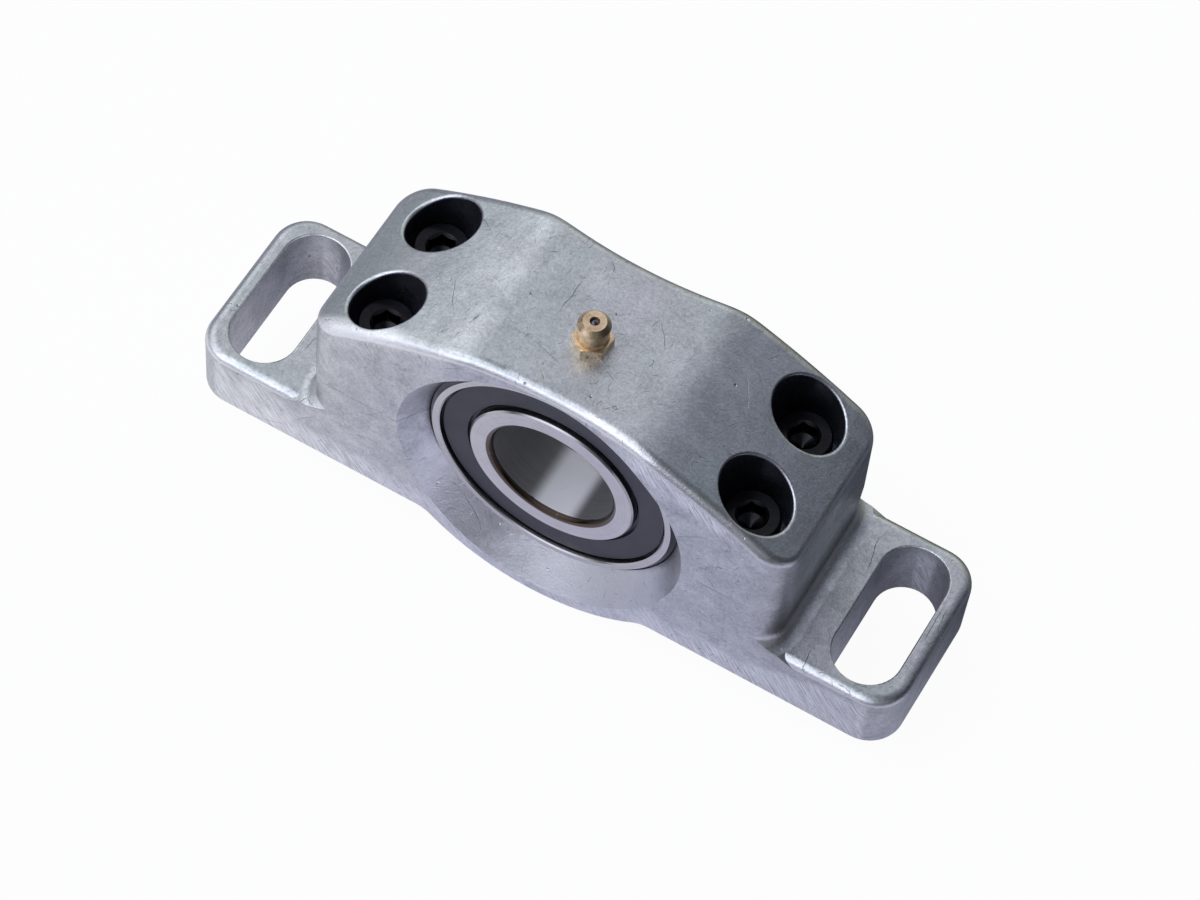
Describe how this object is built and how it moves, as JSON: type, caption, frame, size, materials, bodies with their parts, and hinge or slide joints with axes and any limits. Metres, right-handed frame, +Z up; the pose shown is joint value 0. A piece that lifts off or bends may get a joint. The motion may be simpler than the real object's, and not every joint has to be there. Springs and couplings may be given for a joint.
{
  "type": "driveshaft carrier bearing",
  "caption": "Split aluminium housing with slotted mounting ears, clamped round a greasable sealed ball bearing that carries the middle of a driveshaft.",
  "frame": {"origin": "centre of the bearing, on the axis of its bore, midway between its front and rear faces", "axes": "+X along the housing from the left ear to the right ear, +Y along the bore from front to rear, +Z up through the cap, away from the undersides of the ears"},
  "size_m": [0.1776, 0.0454, 0.0858],
  "materials": {
    "cast_aluminium": "fine cast and tumbled, satin",
    "black_oxide_steel": "black oxide, oiled",
    "brass": "turned",
    "bearing_steel": "ground",
    "spring_steel": "drawn wire",
    "seal_rubber": "moulded, satin",
    "cage_nylon": "moulded"
  },
  "bodies": {
    "housing": {"housing_base": "cast_aluminium", "housing_cap": "cast_aluminium", "cap_screw_front_left": "black_oxide_steel", "cap_screw_front_right": "black_oxide_steel", "cap_screw_rear_left": "black_oxide_steel", "cap_screw_rear_right": "black_oxide_steel", "grease_fitting_body": "brass", "grease_fitting_spring": "spring_steel", "outer_ring": "bearing_steel", "front_seal": "seal_rubber", "rear_seal": "seal_rubber"},
    "inner_rings": {"front_inner_ring": "bearing_steel", "rear_inner_ring": "bearing_steel"},
    "front_cage": {"front_cage": "cage_nylon", "front_ball_1": "bearing_steel", "front_ball_2": "bearing_steel", "front_ball_3": "bearing_steel", "front_ball_4": "bearing_steel", "front_ball_5": "bearing_steel", "front_ball_6": "bearing_steel", "front_ball_7": "bearing_steel", "front_ball_8": "bearing_steel", "front_ball_9": "bearing_steel"},
    "rear_cage": {"rear_cage": "cage_nylon", "rear_ball_1": "bearing_steel", "rear_ball_2": "bearing_steel", "rear_ball_3": "bearing_steel", "rear_ball_4": "bearing_steel", "rear_ball_5": "bearing_steel", "rear_ball_6": "bearing_steel", "rear_ball_7": "bearing_steel", "rear_ball_8": "bearing_steel", "rear_ball_9": "bearing_steel"},
    "grease_ball": {"grease_fitting_ball": "bearing_steel"}
  },
  "joints": [
    {"name": "inner_spin", "type": "hinge", "parent": "housing", "child": "inner_rings", "pos_m": [0, 0, 0], "axis": [0, 1, 0], "continuous": true},
    {"name": "front_cage_spin", "type": "hinge", "parent": "housing", "child": "front_cage", "pos_m": [0, 0, 0], "axis": [0, 1, 0], "continuous": true},
    {"name": "rear_cage_spin", "type": "hinge", "parent": "housing", "child": "rear_cage", "pos_m": [0, 0, 0], "axis": [0, 1, 0], "continuous": true},
    {"name": "grease_ball_slide", "type": "slide", "parent": "housing", "child": "grease_ball", "axis": [0, 0, -1], "range_m": [0, 0.0008], "stiffness_N_per_m": 60, "springref_m": -0.0005, "deforming": ["grease_fitting_spring"]}
  ],
  "couplings": [
    {"joint": "front_cage_spin", "follows": "inner_spin", "ratio": 0.39647},
    {"joint": "rear_cage_spin", "follows": "inner_spin", "ratio": 0.39647}
  ]
}
